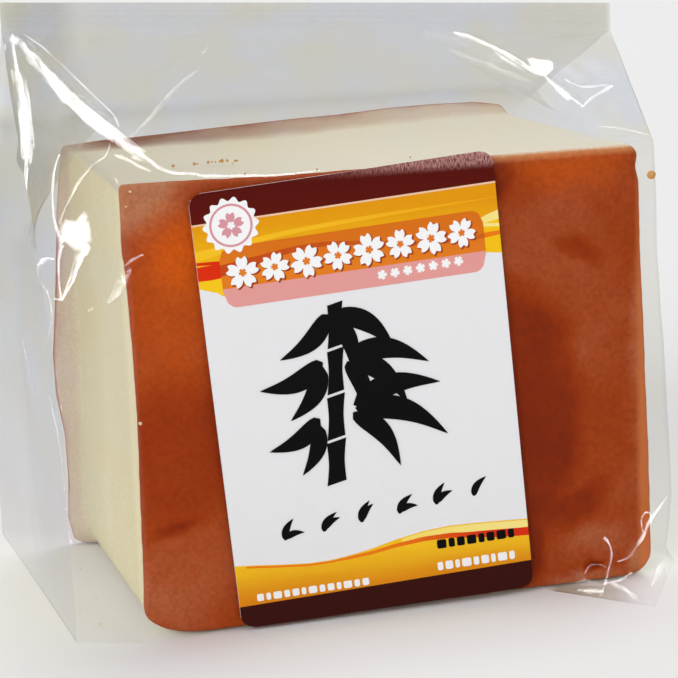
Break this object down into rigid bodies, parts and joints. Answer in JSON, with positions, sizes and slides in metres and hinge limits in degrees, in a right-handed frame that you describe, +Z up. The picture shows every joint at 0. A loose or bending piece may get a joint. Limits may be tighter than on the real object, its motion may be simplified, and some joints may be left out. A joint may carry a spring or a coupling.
{
  "type": "sealed pack of castella sponge cake",
  "caption": "Thick block of castella sponge cake with a browned face, sealed upright in a loose clear film bag with a paper label on its front.",
  "frame": {"origin": "on the flat base that the pack stands on, under the middle of the cake", "axes": "+X to the right along the label's face, +Y from the labelled front to the rear, +Z up"},
  "size_m": [0.1151, 0.0906, 0.1073],
  "materials": {
    "clear_film": "clear glossy film over a brown and cream cake",
    "label_paper": "coated label paper, white with brown and amber printed bands",
    "sponge": "matte fine-pored pale cream sponge",
    "crust": "matte browned crust"
  },
  "bodies": {
    "root": {"sealed_bag": "clear_film", "front_label": "label_paper"}
  },
  "joints": []
}
